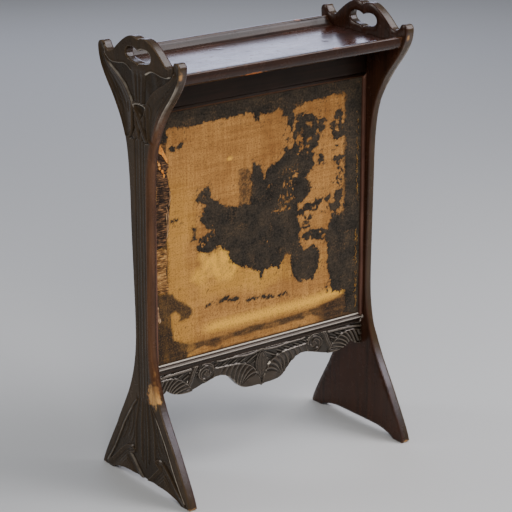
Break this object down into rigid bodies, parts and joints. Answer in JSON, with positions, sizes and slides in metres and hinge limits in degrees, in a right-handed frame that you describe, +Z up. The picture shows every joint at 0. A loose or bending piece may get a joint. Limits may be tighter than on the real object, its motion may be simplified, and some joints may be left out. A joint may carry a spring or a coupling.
{
  "type": "fireplace screen",
  "caption": "Free-standing fireplace screen: carved plank uprights with hand holes carry a rimmed shelf, a stretched worn cloth panel and a carved apron.",
  "frame": {"origin": "on the floor, midway between the foot pads of both uprights", "axes": "+X to the right seen from the front, -Y towards the viewer in front of the panel, +Z up"},
  "size_m": [0.645, 0.344, 1.037],
  "materials": {
    "carved_wood": "dark stained hardwood, carved, satin with silvery wear",
    "shelf_wood": "dark red-brown hardwood, french polished",
    "rim_wood": "dark red-brown hardwood, polished, rubbed edges",
    "rail_wood": "dark stained hardwood, satin",
    "bead_wood": "worn red-brown moulding, satin",
    "fillet_wood": "plain stained softwood, dull",
    "inner_wood": "bare softwood, sawn",
    "dowel_wood": "bare hardwood dowel",
    "ground_cloth": "ochre woven ground, matt, soiled",
    "face_cloth": "worn dark pile, matt",
    "lining_cloth": "plain unbleached lining, matt",
    "steel": "dull oxidised steel"
  },
  "bodies": {
    "root": {"left_upright": "carved_wood", "right_upright": "carved_wood", "shelf_board": "shelf_wood", "shelf_front_rim": "rim_wood", "shelf_rear_rim": "rim_wood", "rim_dowels": "dowel_wood", "frieze_rail": "rail_wood", "glue_blocks": "inner_wood", "shelf_screws": "steel", "frieze_bead": "bead_wood", "left_bead": "bead_wood", "right_bead": "bead_wood", "bead_pins": "steel", "bottom_rail": "rail_wood", "bottom_moulding": "bead_wood", "moulding_pins": "steel", "carved_apron": "carved_wood", "apron_dowels": "dowel_wood", "stretcher_top_bar": "inner_wood", "stretcher_bottom_bar": "inner_wood", "stretcher_left_bar": "inner_wood", "stretcher_right_bar": "inner_wood", "stretcher_nails": "steel", "ground_cloth": "ground_cloth", "face_cloth": "face_cloth", "cloth_tacks": "steel", "back_lining": "lining_cloth", "lining_tacks": "steel", "rear_top_fillet": "fillet_wood", "rear_bottom_fillet": "fillet_wood", "rear_left_fillet": "fillet_wood", "rear_right_fillet": "fillet_wood", "fillet_screws": "steel", "fillet_pins": "steel"}
  },
  "joints": []
}
